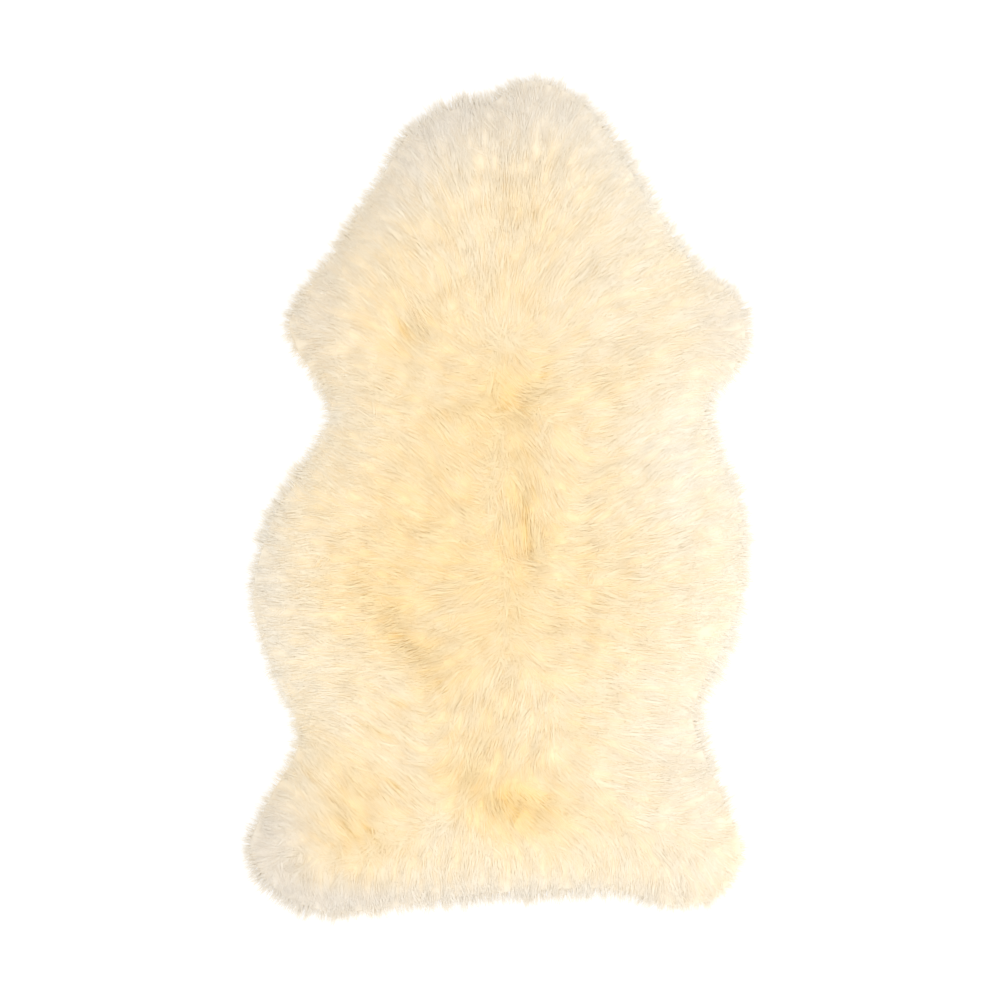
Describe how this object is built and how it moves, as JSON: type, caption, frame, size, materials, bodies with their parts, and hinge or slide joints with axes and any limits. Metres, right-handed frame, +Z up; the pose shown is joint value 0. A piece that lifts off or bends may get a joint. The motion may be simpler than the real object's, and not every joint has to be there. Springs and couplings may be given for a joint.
{
  "type": "sheepskin rug",
  "caption": "Natural sheepskin rug lying flat, wool up: soft tufts of long cream wool on a whole trimmed hide, with locks hanging out all round the rim.",
  "frame": {"origin": "middle of the rug's bounding box at the floor", "axes": "+Y to the neck, +Z up out of the wool, +X to the right seen from above with the neck away"},
  "size_m": [0.6, 1, 0.0566],
  "materials": {
    "wool": "long natural cream wool, warm in the partings and pale at the tips",
    "hide": "undyed suede, the flesh side of the skin"
  },
  "bodies": {
    "root": {"sheepskin": "wool"}
  },
  "joints": []
}
